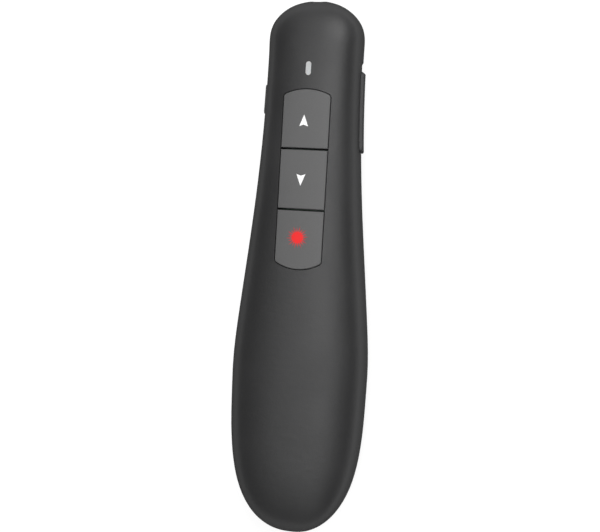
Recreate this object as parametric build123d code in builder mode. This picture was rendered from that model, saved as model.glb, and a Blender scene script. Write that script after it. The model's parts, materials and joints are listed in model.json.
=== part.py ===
from build123d import *
import math
import os

# Wireless presentation clicker, millimetres.
# It lies on its back: +Z is the key side, +Y points to the laser tip, X is across.
# The origin is under the middle of the body, on the surface that it rests on.

# ---- Body form -------------------------------------------------------------------------------
BODY_LENGTH = 135.0
NECK_HALF_WIDTH = 11.97
GRIP_SIDE = 6.55  # from the cells' bay out to the widest section
CELL_COVER = 0.85  # from the cells up to the parting plane
NECK_DEPTH = 7.6  # from the parting plane down to the neck's underside
BELLY_CROWN = 9.2  # from the parting plane up to the crown line
NECK_CROWN = 8.4
REST_TRIM = 0.3  # what the rest plane slices off the belly
BELLY_FROM_TAIL = 43.4  # widest section
NECK_FROM_TIP = 12.9  # the waist has reached the neck's width here
WAIST_BIAS = 0.71  # below 1 draws the waist curve in soon after the belly
BELLY_BOTTOM_FROM_TAIL = 64.0  # the belly's underside starts to rise here
NECK_BOTTOM_FROM_TIP = 25.0
TIP_REACH = 9.42  # length over which the outline rounds off
TIP_ROUNDING = 2.0  # exponent of that rounding, 2 is an ellipse
TAIL_REACH = 54.0
TAIL_ROUNDING = 4.6
TIP_DROP_REACH = 12.0  # the same for the crown line and the underside
TAIL_CROWN_REACH = 26.0
TAIL_BOTTOM_REACH = 30.0
TAIL_DROP_ROUNDING = 3.5
END_FLAT = 0.25  # depth of the small flat that closes each end
TOP_FULLNESS = 0.76  # handle length of the section curves, 0.55 is an ellipse
BOTTOM_FULLNESS = 0.62
LOFT_STEPS = (6, 9, 6)  # sections over the tail, the middle and the tip
LOFT_CROWDING = 0.45  # how far the middle ones draw together towards its ends
NECK_BAND_SECTIONS = 5

# ---- Shells ----------------------------------------------------------------------------------
WALL = 1.7
SEAM_REVEAL = 0.3  # width and depth of the shadow line along the parting plane
LIP_HEIGHT = 1.1
LIP_CLEARANCE = 0.1
RIB = 1.2
FIT = 0.05  # radial clearance of a located pin, barrel or window
SLIDE_GAP = 0.15  # clearance round a piece that slides or presses

# ---- Keys ------------------------------------------------------------------------------------
KEYPAD_FROM_TIP = 22.6  # foremost point of the key group
KEYPAD_LENGTH = 44.25
KEY_HALF_WIDTH = 5.88
KEY_END_BOW_FRONT = 1.4  # rise of the arc that ends the key group
KEY_END_BOW_REAR = 1.75
KEY_CORNER = 1.0
KEY_SPLITS = (14.6, 29.55)  # centres of the cross gaps, from the foremost point
KEY_SPLIT_GAP = 0.46
KEY_SIDE_GAP = 0.2
KEY_PROUD = 0.15
KEY_EDGE = 0.25
KEY_TRAVEL = 0.35
FLANGE_WIDTH = 0.9
FLANGE_THICKNESS = 0.8
FRAME_WIDTH = 1.6
KEY_STOP_HEIGHT = 5.6  # underside of the key frame above the parting plane

# ---- Circuit board and switches --------------------------------------------------------------
BOARD_THICKNESS = 1.0
BOARD_TOP_HEIGHT = 2.7  # above the parting plane
BOARD_EDGE_ROOM = 1.27  # from its long edges to the neck's walls
BOARD_CORNER = 1.5
BOARD_PAST_CONTACTS = 6.9  # how far it reaches over the cells
KEY_SWITCH_SIDE = 4.6
KEY_SWITCH_HEIGHT = 1.4
KEY_STEM_RADIUS = 1.3
KEY_STEM_DEPTH = 0.7
LIGHT_FROM_TIP = 17.5
LIGHT_LENGTH = 3.3
LIGHT_WIDTH = 1.3
LIGHT_COLLAR = 0.5  # width of the light pipe's collar, inside the wall
LIGHT_COLLAR_THICKNESS = 0.6
STATUS_LED = (1.2, 2.0, 0.8)
CHIP_SIDE = 5.0
CHIP_HEIGHT = 0.9
CHIP_X = -1.5
CHIP_MARK = 0.5  # cut corner beside its first pin
CRYSTAL = (3.2, 2.5, 0.8)
CRYSTAL_CORNER = 0.4
CRYSTAL_BEHIND = 5.5  # from the chip's middle
CAPACITOR = (1.6, 0.8, 0.8)
CAPACITOR_PITCH = (2.4, 2.2)
CAPACITORS_AHEAD = 6.0

# ---- Volume rocker, right side ---------------------------------------------------------------
ROCKER_CENTRE_FROM_TIP = 27.1
ROCKER_LENGTH = 20.2
ROCKER_HEIGHT = 5.0
ROCKER_CORNER = 1.2
ROCKER_DROP = 0.9  # its middle lies this far below the parting plane
ROCKER_PROUD = 0.65
ROCKER_ROOM = 0.97  # from the neck's wall in to its inner face
ROCKER_TAB = (0.7, 0.8, 2.4)  # thickness, reach past the ends, height
ROCKER_RECESS_FRONT = 2.2  # the recess runs this far past the rocker's front end
PIVOT_SET_IN = 1.1  # from the rocker's inner face to the pin's axis
PIVOT_RADIUS = 0.6
PLUNGER_ARM = 7.0
PLUNGER_RADIUS = 0.8
PLUNGER_SHOWS = 1.1  # between the switch's face and the rocker
PLUNGER_DEPTH = 1.2  # inside the switch
PLUNGER_BORE = 1.8
SIDE_SWITCH = (3.0, 4.4, 3.4)

# ---- Power slider, left side -----------------------------------------------------------------
SLIDER_CENTRE_FROM_TIP = 24.45
SLIDER_LENGTH = 7.3
SLIDER_HEIGHT = 3.6
SLIDER_CORNER = 0.8
SLIDER_DROP = 1.0
SLIDER_TRAVEL = 2.5
SLIDER_GROOVES = 7
SLIDER_GROOVE_SHARE = 0.45  # of the pitch of its ribs
SLIDER_GROOVE_HEIGHT = 2.9
SLIDER_ROOM = 1.07  # from the neck's wall in to the plate's outer face
SLIDER_PLATE_THICKNESS = 0.7
SLIDER_PLATE_HEIGHT = 4.0
SLIDER_PLATE_RISE = 0.5  # its middle above the thumb piece's
SLIDER_OVERLAP = 1.0  # plate past the window's ends at either limit
SLIDER_LEVER = 1.6
POWER_SWITCH = (2.8, 9.0, 3.4)
POWER_SWITCH_GAP = 0.2  # behind the plate

# ---- Laser -----------------------------------------------------------------------------------
BARREL_RADIUS = 3.0
BARREL_LENGTH = 10.5
BARREL_FROM_TIP = 2.6
LENS_RADIUS = 1.7
LENS_THICKNESS = 1.2
LENS_DOME_RADIUS = 3.2
LENS_SET_BACK = 0.3  # behind the barrel's rim
BEAM_RADIUS = 1.6
WINDOW_RADIUS = 2.4
WINDOW_THICKNESS = 0.8
WINDOW_SET_BACK = 0.25
SADDLES_FROM_TIP = (5.9, 10.9)
BARREL_EDGE = 0.3
DRIVER_BOARD_WIDTH = 5.0
DRIVER_BOARD_THICKNESS = 0.8
DRIVER_BOARD_DROP = 3.0  # its lower edge below the beam
DRIVER_BOARD_OVERLAP = 0.6  # its upper edge above the circuit board's underside
LEAD_RADIUS = 0.35
LEAD_BEND = 0.7
LEAD_X = 1.0
LEAD_DROP = 1.5
LEAD_FROM_EDGE = 1.0

# ---- Batteries, contacts and door ------------------------------------------------------------
CELL_RADIUS = 5.25
CELL_LENGTH = 44.5
CELL_NUB_RADIUS = 1.9
CELL_NUB_LENGTH = 0.8
CELL_EDGE = 0.4
CELL_GAP = 0.3
CELL_UNDERSIDE_Z = 2.15
CELL_CLEARANCE = 0.2
SPRING_LENGTH = 3.0
SPRING_FOOT_RADIUS = 3.0
SPRING_CONE = 25.0  # degrees
SPRING_WIRE = 0.25  # radius over the corners of its section
SPRING_WIRE_SIDES = 6
SPRING_TURNS = 2.5
CONTACT_THICKNESS = 0.4
CONTACT_SIDE = 6.4
CONTACT_CORNER = 1.0
CONTACT_TAIL = 2.0
CEILING_THICKNESS = 2.3
DOOR_SEAM_Z = 4.0
DOOR_GAP = 0.12
DOOR_STROKE = 5.0
HOOK_LENGTH = 4.0
HOOK_THICKNESS = 0.65
HOOK_REACH = 0.75
HOOK_LEDGE = 1.1  # shell left under each hook
HOOKS_FROM_TAIL = (37.5, 55.5)
LATCH_HALF_WIDTH = 2.0  # fits the valley between the cells
LATCH_LENGTH = 2.0
LATCH_THICKNESS = 0.9
GRIP_GROOVES = 5
GRIP_PITCH = 1.6
GRIP_FROM_SEAM = 6.0  # first groove, behind the door's front edge
GRIP_WIDTH = 9.0
GRIP_TAPER = 1.2  # each groove is this much shorter than the one ahead of it

# ---- Receiver stowed in the tail -------------------------------------------------------------
CAP_LENGTH = 6.5
CAP_HALF_WIDTH = 7.0
CAP_HEIGHT = 4.9
CAP_CORNER = 1.2
NAIL_GROOVE_WIDTH = 8.0
NAIL_GROOVE_HEIGHT = 1.0
RECEIVER_Z = 9.2
SLEEVE_WIDTH = 12.0
SLEEVE_HEIGHT = 4.5
SLEEVE_LENGTH = 11.8
SLEEVE_SHEET = 0.3
SLEEVE_CORNER = 0.4
SLEEVE_HOLE = (2.5, 2.3)
SLEEVE_HOLE_X = 2.25
SLEEVE_HOLE_FROM_CAP = 6.6
TONGUE_THICKNESS = 1.8
TONGUE_SET_BACK = 0.5
RECEIVER_END_PLAY = 0.6
DUCT_WALL = 1.2

# ---- Screws ----------------------------------------------------------------------------------
CASING_SCREW_X = 9.2
CASING_SCREW_FROM_TAIL = 14.0
CASING_SCREW_LENGTH = 10.0
CASING_SCREW_RADIUS = 1.0
CASING_HEAD_RADIUS = 1.7
CASING_HEAD_HEIGHT = 1.3
BOSS_RADIUS = 2.6
BOARD_SCREW_RADIUS = 0.7
BOARD_SCREW_LENGTH = 4.0
BOARD_HEAD_RADIUS = 1.2
BOARD_HEAD_HEIGHT = 0.8
BOARD_BOSS_RADIUS = 1.6
BOARD_SCREW_X = 3.2
BOARD_SCREW_INSET = 2.4  # the rear one, from the board's end
BOARD_SCREW_AHEAD = 0.3  # of the front ones' heads, past the side switch
BOARD_END_ROOM = 1.5  # from the front ones to the board's end
HEAD_TAPER = 0.7  # shares of the head's radius
DRIVE_LENGTH = 1.1
DRIVE_WIDTH = 0.3
DRIVE_DEPTH = 0.5  # share of the head's height

# ---- Levels and stations worked out from the above -------------------------------------------
CELL_SPACING = 2 * CELL_RADIUS + CELL_GAP
CELL_AXIS_Z = CELL_UNDERSIDE_Z + CELL_RADIUS
BAY_HALF_WIDTH = CELL_SPACING / 2 + CELL_RADIUS + CELL_CLEARANCE
BELLY_HALF_WIDTH = BAY_HALF_WIDTH + GRIP_SIDE
BELLY_DEPTH = CELL_UNDERSIDE_Z + 2 * CELL_RADIUS + CELL_COVER
PART_Z = BELLY_DEPTH
TIP_Y = BODY_LENGTH / 2
TAIL_Y = -BODY_LENGTH / 2
TALL = BODY_LENGTH  # longer than any cut needs to be
NECK_INNER_X = NECK_HALF_WIDTH - WALL

KEYPAD_FRONT_Y = TIP_Y - KEYPAD_FROM_TIP
KEYPAD_REAR_Y = KEYPAD_FRONT_Y - KEYPAD_LENGTH
KEY_STOP_Z = PART_Z + KEY_STOP_HEIGHT
FLANGE_TOP_Z = KEY_STOP_Z - 2 * FIT
FLANGE_BOTTOM_Z = FLANGE_TOP_Z - FLANGE_THICKNESS
BOARD_TOP_Z = PART_Z + BOARD_TOP_HEIGHT
BOARD_BOTTOM_Z = BOARD_TOP_Z - BOARD_THICKNESS
BOARD_HALF_WIDTH = NECK_INNER_X - BOARD_EDGE_ROOM
KEY_SWITCH_TOP_Z = BOARD_TOP_Z + KEY_SWITCH_HEIGHT
KEY_STEM_TOP_Z = KEY_SWITCH_TOP_Z + KEY_TRAVEL + FIT
KEY_BOSS_HEIGHT = FLANGE_BOTTOM_Z - KEY_STEM_TOP_Z
LIGHT_Y = TIP_Y - LIGHT_FROM_TIP

ROCKER_Y = TIP_Y - ROCKER_CENTRE_FROM_TIP
ROCKER_Z = PART_Z - ROCKER_DROP
ROCKER_REAR_Y = ROCKER_Y - ROCKER_LENGTH / 2
ROCKER_FRONT_Y = ROCKER_Y + ROCKER_LENGTH / 2
ROCKER_INNER_X = NECK_INNER_X - ROCKER_ROOM
ROCKER_TAB_X = ROCKER_INNER_X - ROCKER_TAB[0]
PIVOT_X = ROCKER_INNER_X - PIVOT_SET_IN
SWITCH_FACE_X = ROCKER_TAB_X - PLUNGER_SHOWS
SLIDER_Y = TIP_Y - SLIDER_CENTRE_FROM_TIP
SLIDER_Z = PART_Z - SLIDER_DROP
SLIDER_PLATE_X = NECK_INNER_X - SLIDER_ROOM
POWER_SWITCH_X = SLIDER_PLATE_X - SLIDER_PLATE_THICKNESS - POWER_SWITCH_GAP - POWER_SWITCH[0] / 2

BARREL_FRONT_Y = TIP_Y - BARREL_FROM_TIP
BARREL_REAR_Y = BARREL_FRONT_Y - BARREL_LENGTH

CAP_REAR_Y = TAIL_Y + CAP_LENGTH
SLEEVE_END_Y = CAP_REAR_Y + SLEEVE_LENGTH
BAY_TAIL_Y = SLEEVE_END_Y + RECEIVER_END_PLAY + RIB
BAY_FRONT_Y = BAY_TAIL_Y + 2 * CONTACT_THICKNESS + SPRING_LENGTH + CELL_LENGTH + 2 * FIT
DOOR_FRONT_Y = BAY_FRONT_Y + RIB
HOOK_OUT_X = BAY_HALF_WIDTH + HOOK_THICKNESS - CELL_CLEARANCE / 2

CASING_SCREW_Y = TAIL_Y + CASING_SCREW_FROM_TAIL
SWITCH_FRONT_Y = ROCKER_Y + PLUNGER_ARM + SIDE_SWITCH[1] / 2
BOARD_SCREW_Y = SWITCH_FRONT_Y + BOARD_HEAD_RADIUS + BOARD_SCREW_AHEAD
BOARD_FRONT_Y = BOARD_SCREW_Y + BOARD_END_ROOM
BOARD_REAR_Y = BAY_FRONT_Y - BOARD_PAST_CONTACTS
BOARD_SCREWS = (
    (-BOARD_SCREW_X, BOARD_SCREW_Y),
    (BOARD_SCREW_X, BOARD_SCREW_Y),
    (0.0, BOARD_REAR_Y + BOARD_SCREW_INSET),
)


# ---- Body form: two lofts that meet on the parting plane -------------------------------------
def blend(y, start, end, from_value, to_value, bias=1.0):
    """Cosine blend of a size along the body, from start to end."""
    t = min(max((y - start) / (end - start), 0.0), 1.0) ** bias
    return from_value + (to_value - from_value) * (1 - math.cos(math.pi * t)) / 2


def end_round(distance, reach, power):
    """Share of the full size left at a distance from an end that rounds off over reach."""
    q = 1 - min(distance / reach, 1.0)
    return math.sqrt(1 - q**power)


def section_sizes(y, inset):
    """Half width, crown height and depth of the body's section at y."""
    from_tip = TIP_Y + END_FLAT - inset - y
    from_tail = y - TAIL_Y + END_FLAT - inset
    width = blend(
        y,
        TAIL_Y + BELLY_FROM_TAIL,
        TIP_Y - NECK_FROM_TIP,
        BELLY_HALF_WIDTH,
        NECK_HALF_WIDTH,
        WAIST_BIAS,
    )
    crown = blend(y, TAIL_Y + BELLY_FROM_TAIL, TIP_Y - NECK_FROM_TIP, BELLY_CROWN, NECK_CROWN)
    depth = blend(
        y,
        TAIL_Y + BELLY_BOTTOM_FROM_TAIL,
        TIP_Y - NECK_BOTTOM_FROM_TIP,
        BELLY_DEPTH + REST_TRIM,
        NECK_DEPTH,
    )
    width_ends = end_round(from_tip, TIP_REACH - inset, TIP_ROUNDING)
    width_ends *= end_round(from_tail, TAIL_REACH - inset, TAIL_ROUNDING)
    tip_drop = end_round(from_tip, TIP_DROP_REACH - inset, TIP_ROUNDING)
    crown_ends = tip_drop * end_round(from_tail, TAIL_CROWN_REACH - inset, TAIL_DROP_ROUNDING)
    depth_ends = tip_drop * end_round(from_tail, TAIL_BOTTOM_REACH - inset, TAIL_DROP_ROUNDING)
    return (width - inset) * width_ends, (crown - inset) * crown_ends, (depth - inset) * depth_ends


def stations(inset):
    """Places of the loft's sections, closest together where the ends round off."""
    places = []
    tail_steps, middle_steps, tip_steps = LOFT_STEPS
    tail_end = TAIL_Y + inset
    tip_end = TIP_Y - inset
    tail_start = math.acos(1 - END_FLAT / TAIL_BOTTOM_REACH)
    for step in range(tail_steps):
        angle = tail_start + (math.pi / 2 - tail_start) * step / tail_steps
        places.append(tail_end - END_FLAT + TAIL_BOTTOM_REACH * (1 - math.cos(angle)))
    middle_start = tail_end + TAIL_BOTTOM_REACH - END_FLAT
    middle_end = tip_end - TIP_DROP_REACH + END_FLAT
    for step in range(middle_steps):
        share = step / middle_steps
        share -= LOFT_CROWDING * math.sin(2 * math.pi * share) / (2 * math.pi)
        places.append(middle_start + (middle_end - middle_start) * share)
    tip_start = math.acos(1 - END_FLAT / TIP_DROP_REACH)
    for step in range(tip_steps + 1):
        angle = math.pi / 2 - (math.pi / 2 - tip_start) * step / tip_steps
        places.append(tip_end + END_FLAT - TIP_DROP_REACH * (1 - math.cos(angle)))
    return places


def draw_half_section(half_width, rise, fullness):
    """Two curves from one side over the pole to the other side, in the current line."""
    pole_z = PART_Z + rise
    handle_z = PART_Z + fullness * rise
    handle_x = fullness * half_width
    Bezier((half_width, PART_Z), (half_width, handle_z), (handle_x, pole_z), (0, pole_z))
    Bezier((0, pole_z), (-handle_x, pole_z), (-half_width, handle_z), (-half_width, PART_Z))


def half_form(upper, inset=0.0):
    """Upper or lower half of the body form, drawn in by inset on every curved side."""
    with BuildPart() as form:
        for y in stations(inset):
            half_width, crown, depth = section_sizes(y, inset)
            with BuildSketch(Plane.XZ.offset(-y)):
                with BuildLine():
                    if upper:
                        draw_half_section(half_width, crown, TOP_FULLNESS)
                    else:
                        draw_half_section(half_width, -depth, BOTTOM_FULLNESS)
                    Line((-half_width, PART_Z), (half_width, PART_Z))
                make_face()
        loft()
    return form.part


def neck_band(rear, front, inset):
    """Both halves of the neck between two stations, for the outer faces of side controls."""
    with BuildPart() as band:
        for step in range(NECK_BAND_SECTIONS):
            y = rear + (front - rear) * step / (NECK_BAND_SECTIONS - 1)
            half_width, crown, depth = section_sizes(y, inset)
            with BuildSketch(Plane.XZ.offset(-y)):
                with BuildLine():
                    draw_half_section(half_width, crown, TOP_FULLNESS)
                    draw_half_section(-half_width, -depth, BOTTOM_FULLNESS)
                make_face()
        loft(clean=False)
    return band.part


UPPER_OUTER = half_form(True)
LOWER_OUTER = half_form(False)
UPPER_CAVITY = half_form(True, WALL)
LOWER_CAVITY = half_form(False, WALL)
UPPER_SKIN = half_form(True, SEAM_REVEAL)
LOWER_SKIN = half_form(False, SEAM_REVEAL)
LIP_OUTSIDE = half_form(True, WALL / 2 + LIP_CLEARANCE / 2)
LIP_INSIDE = half_form(True, WALL - LIP_CLEARANCE)
UPPER_MID = half_form(True, WALL / 2 - LIP_CLEARANCE / 2)
LOWER_MID = half_form(False, WALL / 2 - LIP_CLEARANCE / 2)
KEY_FORM = half_form(True, -KEY_PROUD)
KEY_ROOM = half_form(True, WALL + SLIDE_GAP)
PROUD_FORM = neck_band(ROCKER_REAR_Y - RIB, ROCKER_FRONT_Y + RIB, -ROCKER_PROUD)


# ---- Shared shapes ---------------------------------------------------------------------------
def cuboid(x, y, z, mode=Mode.ADD):
    """Box between pairs of limits in x, y and z."""
    with Locations(((x[0] + x[1]) / 2, (y[0] + y[1]) / 2, (z[0] + z[1]) / 2)):
        Box(x[1] - x[0], y[1] - y[0], z[1] - z[0], mode=mode)


def around(middle, size):
    """Pair of limits of a size laid evenly round a middle."""
    return (middle - size / 2, middle + size / 2)


def keypad_outline(grow=0.0):
    """Outline of the key group in plan, with bowed ends, grown by a margin."""
    front_corner = KEYPAD_FRONT_Y - KEY_END_BOW_FRONT
    rear_corner = KEYPAD_REAR_Y + KEY_END_BOW_REAR
    with BuildSketch() as outline:
        with BuildLine():
            ThreePointArc(
                (-KEY_HALF_WIDTH, front_corner),
                (0, KEYPAD_FRONT_Y),
                (KEY_HALF_WIDTH, front_corner),
            )
            Line((KEY_HALF_WIDTH, front_corner), (KEY_HALF_WIDTH, rear_corner))
            ThreePointArc(
                (KEY_HALF_WIDTH, rear_corner),
                (0, KEYPAD_REAR_Y),
                (-KEY_HALF_WIDTH, rear_corner),
            )
            Line((-KEY_HALF_WIDTH, rear_corner), (-KEY_HALF_WIDTH, front_corner))
        make_face()
        fillet(outline.vertices(), radius=KEY_CORNER)
        if grow:
            offset(amount=grow)
    return outline.sketch


def side_profile(y, z, length, height, corner):
    """Rounded rectangle on the plane X = 0, for cuts and pieces in the body's sides."""
    with BuildSketch(Plane.YZ) as profile:
        with Locations((y, z)):
            RectangleRounded(length, height, corner)
    return profile.sketch


def screw(plane, radius, length, head_radius, head_height):
    """Pan head screw added to the current part; the plane's normal points along the shank."""
    tip = radius
    with BuildSketch(Plane(plane.origin, x_dir=plane.x_dir, z_dir=-plane.y_dir)) as profile:
        with BuildLine():
            Polyline(
                (0, length),
                (radius, length - tip),
                (radius, 0),
                (head_radius, 0),
                (head_radius, -head_height / 2),
                (head_radius * HEAD_TAPER, -head_height),
                (0, -head_height),
                close=True,
            )
        make_face()
    revolve(profile.sketch, axis=Axis(plane.origin, plane.z_dir))
    for angle in (0, 90):
        with BuildSketch(plane.offset(-head_height)) as recess:
            Rectangle(head_radius * DRIVE_LENGTH, head_radius * DRIVE_WIDTH, rotation=angle)
        extrude(recess.sketch, amount=head_height * DRIVE_DEPTH, mode=Mode.SUBTRACT)


def key_limits(number):
    """Rear and front limit in Y of key number 0, 1 or 2, counted from the tip."""
    fronts = [KEYPAD_FRONT_Y] + [KEYPAD_FRONT_Y - s - KEY_SPLIT_GAP / 2 for s in KEY_SPLITS]
    rears = [KEYPAD_FRONT_Y - s + KEY_SPLIT_GAP / 2 for s in KEY_SPLITS] + [KEYPAD_REAR_Y]
    return rears[number], fronts[number]


def key_middle(number):
    """Middle of a key in Y, where its switch stands."""
    rear, front = key_limits(number)
    return (rear + front) / 2


ROCKER_WINDOW = side_profile(
    ROCKER_Y,
    ROCKER_Z,
    ROCKER_LENGTH + 2 * SLIDE_GAP,
    ROCKER_HEIGHT + 2 * SLIDE_GAP,
    ROCKER_CORNER + SLIDE_GAP,
)
ROCKER_RECESS = side_profile(
    ROCKER_Y + ROCKER_RECESS_FRONT / 2,
    ROCKER_Z,
    ROCKER_LENGTH + ROCKER_RECESS_FRONT + 2 * SLIDE_GAP,
    ROCKER_HEIGHT + 2 * SLIDE_GAP,
    ROCKER_CORNER + SLIDE_GAP,
)
SLIDER_WINDOW = side_profile(
    SLIDER_Y - SLIDER_TRAVEL / 2,
    SLIDER_Z,
    SLIDER_LENGTH + SLIDER_TRAVEL + 2 * SLIDE_GAP,
    SLIDER_HEIGHT + 2 * SLIDE_GAP,
    SLIDER_CORNER + SLIDE_GAP,
)


def rocker_recess(skin, z):
    """Layer that the rocker's recess takes off one shell's right side."""
    with BuildPart() as layer:
        extrude(ROCKER_RECESS, amount=BELLY_HALF_WIDTH)
        cuboid((0, TALL), (-BODY_LENGTH, BODY_LENGTH), z, mode=Mode.INTERSECT)
        add(skin, mode=Mode.SUBTRACT)
    return layer.part


def cut_side_windows(recess):
    """Openings for the rocker and the slider, cut alike from both shells."""
    extrude(ROCKER_WINDOW, amount=BELLY_HALF_WIDTH, mode=Mode.SUBTRACT)
    add(recess, mode=Mode.SUBTRACT)
    extrude(SLIDER_WINDOW, amount=-BELLY_HALF_WIDTH, mode=Mode.SUBTRACT)


def cut_tip():
    """Beam hole and window seat at the tip, shared by both shells."""
    seat_rear = TIP_Y - WINDOW_SET_BACK - WINDOW_THICKNESS
    with BuildSketch(Plane.XZ.offset(-BARREL_FRONT_Y)) as beam:
        with Locations((0, PART_Z)):
            Circle(BEAM_RADIUS)
    extrude(beam.sketch, amount=-BARREL_FROM_TIP, mode=Mode.SUBTRACT)
    with BuildSketch(Plane.XZ.offset(-seat_rear)) as seat:
        with Locations((0, PART_Z)):
            Circle(WINDOW_RADIUS + FIT)
    extrude(seat.sketch, amount=-WALL, mode=Mode.SUBTRACT)


def saddle_ribs(z):
    """Ribs between two levels that clamp the laser barrel."""
    for from_tip in SADDLES_FROM_TIP:
        middle = TIP_Y - from_tip
        cuboid(around(0, 2 * (BARREL_RADIUS + 2 * RIB)), around(middle, RIB), z)


def barrel_pocket():
    """Room for the barrel in the saddle ribs."""
    with BuildSketch(Plane.XZ.offset(-(BARREL_REAR_Y - RIB))) as bore:
        with Locations((0, PART_Z)):
            Circle(BARREL_RADIUS + FIT)
    extrude(bore.sketch, amount=-(BARREL_LENGTH + RIB + FIT), mode=Mode.SUBTRACT)


# ---- Upper casing ----------------------------------------------------------------------------
with BuildPart() as upper_fittings:
    with BuildSketch(Plane.XY.offset(KEY_STOP_Z)):
        add(keypad_outline(KEY_SIDE_GAP + FRAME_WIDTH))
    extrude(amount=TALL)
    for x, y in BOARD_SCREWS:
        with BuildSketch(Plane.XY.offset(BOARD_TOP_Z)):
            with Locations((x, y)):
                Circle(BOARD_BOSS_RADIUS)
        extrude(amount=TALL)
    for side in (-1, 1):
        with BuildSketch(Plane.XY.offset(PART_Z)):
            with Locations((side * CASING_SCREW_X, CASING_SCREW_Y)):
                Circle(BOSS_RADIUS)
        extrude(amount=TALL)
    saddle_ribs((PART_Z, PART_Z + TALL))
    add(UPPER_MID, mode=Mode.INTERSECT)

# The rim's inner half is cut back for the lower shell's lip.
with BuildPart() as rim_rebate:
    cuboid((-TALL, TALL), (-BODY_LENGTH, BODY_LENGTH), (PART_Z, PART_Z + LIP_HEIGHT + LIP_CLEARANCE))
    add(UPPER_MID, mode=Mode.INTERSECT)
    add(UPPER_CAVITY, mode=Mode.SUBTRACT)

with BuildPart() as upper_casing:
    add(UPPER_OUTER)
    add(UPPER_CAVITY, mode=Mode.SUBTRACT)
    add(upper_fittings.part)
    add(rim_rebate.part, mode=Mode.SUBTRACT)
    with BuildSketch(Plane.XY.offset(PART_Z)):
        add(keypad_outline(KEY_SIDE_GAP))
    extrude(amount=TALL, mode=Mode.SUBTRACT)
    with BuildSketch(Plane.XY.offset(PART_Z)):
        with Locations((0, LIGHT_Y)):
            SlotOverall(LIGHT_LENGTH + 2 * FIT, LIGHT_WIDTH + 2 * FIT, rotation=90)
    extrude(amount=TALL, mode=Mode.SUBTRACT)
    for x, y in BOARD_SCREWS:
        with BuildSketch(Plane.XY.offset(BOARD_TOP_Z)):
            with Locations((x, y)):
                Circle(BOARD_SCREW_RADIUS)
        extrude(amount=BOARD_SCREW_LENGTH - BOARD_THICKNESS + 2 * FIT, mode=Mode.SUBTRACT)
    for side in (-1, 1):
        with BuildSketch(Plane.XY.offset(PART_Z)):
            with Locations((side * CASING_SCREW_X, CASING_SCREW_Y)):
                Circle(CASING_SCREW_RADIUS)
        extrude(amount=CASING_SCREW_LENGTH / 2, mode=Mode.SUBTRACT)
    barrel_pocket()
    cut_side_windows(rocker_recess(UPPER_SKIN, (PART_Z, PART_Z + TALL)))
    cut_tip()
upper_casing.part.label = "upper_casing"


# ---- Lower casing ----------------------------------------------------------------------------
SCREW_SEAT_Z = PART_Z - CASING_SCREW_LENGTH / 2
CEILING_Z = PART_Z - CEILING_THICKNESS
DUCT_HALF_WIDTH = SLEEVE_WIDTH / 2 + SLIDE_GAP + DUCT_WALL
DUCT_HALF_HEIGHT = SLEEVE_HEIGHT / 2 + SLIDE_GAP + DUCT_WALL

with BuildPart() as lower_fittings:
    # Ceiling over the cells, the walls that end the bay, and the straight bay sides.
    cuboid((-TALL, TALL), (BAY_TAIL_Y - RIB, BAY_FRONT_Y + RIB), (CEILING_Z, PART_Z))
    for middle in (BAY_TAIL_Y - RIB / 2, BAY_FRONT_Y + RIB / 2):
        cuboid((-TALL, TALL), around(middle, RIB), (DOOR_SEAM_Z, PART_Z))
    cuboid((-TALL, TALL), around(BAY_FRONT_Y + RIB, RIB), (0, PART_Z))
    for side in (-1, 1):
        wall_x = side * (BAY_HALF_WIDTH + RIB / 2)
        wall_z = (DOOR_SEAM_Z + HOOK_LEDGE + 2 * HOOK_THICKNESS, PART_Z)
        cuboid(around(wall_x, RIB), (BAY_TAIL_Y, BAY_FRONT_Y), wall_z)
        with BuildSketch(Plane.XY.offset(DOOR_SEAM_Z)):
            with Locations((side * CASING_SCREW_X, CASING_SCREW_Y)):
                Circle(BOSS_RADIUS)
        extrude(amount=PART_Z - DOOR_SEAM_Z)
    # Block round the stowed receiver: duct for its sleeve, pocket for its cap.
    cuboid(
        around(0, 2 * DUCT_HALF_WIDTH),
        (TAIL_Y, BAY_TAIL_Y - RIB / 2),
        around(RECEIVER_Z, 2 * DUCT_HALF_HEIGHT),
    )
    cuboid(
        around(0, 2 * (CAP_HALF_WIDTH + DUCT_WALL)),
        (TAIL_Y, CAP_REAR_Y + RIB),
        around(RECEIVER_Z, CAP_HEIGHT + 2 * DUCT_WALL),
    )
    saddle_ribs((0, PART_Z))
    with BuildSketch(Plane.XY):
        with Locations((PIVOT_X, ROCKER_Y)):
            Circle(PIVOT_RADIUS + RIB)
    extrude(amount=ROCKER_Z - SIDE_SWITCH[2] / 2)
    add(LOWER_MID, mode=Mode.INTERSECT)

# Shadow line along the parting plane, and the lip that enters the upper shell.
with BuildPart() as shadow_line:
    cuboid((-TALL, TALL), (-BODY_LENGTH, BODY_LENGTH), (PART_Z - SEAM_REVEAL, PART_Z))
    add(LOWER_SKIN, mode=Mode.SUBTRACT)

with BuildPart() as rim_lip:
    cuboid((-TALL, TALL), (-BODY_LENGTH, BODY_LENGTH), (PART_Z, PART_Z + LIP_HEIGHT))
    add(LIP_OUTSIDE, mode=Mode.INTERSECT)
    add(LIP_INSIDE, mode=Mode.SUBTRACT)

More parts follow.
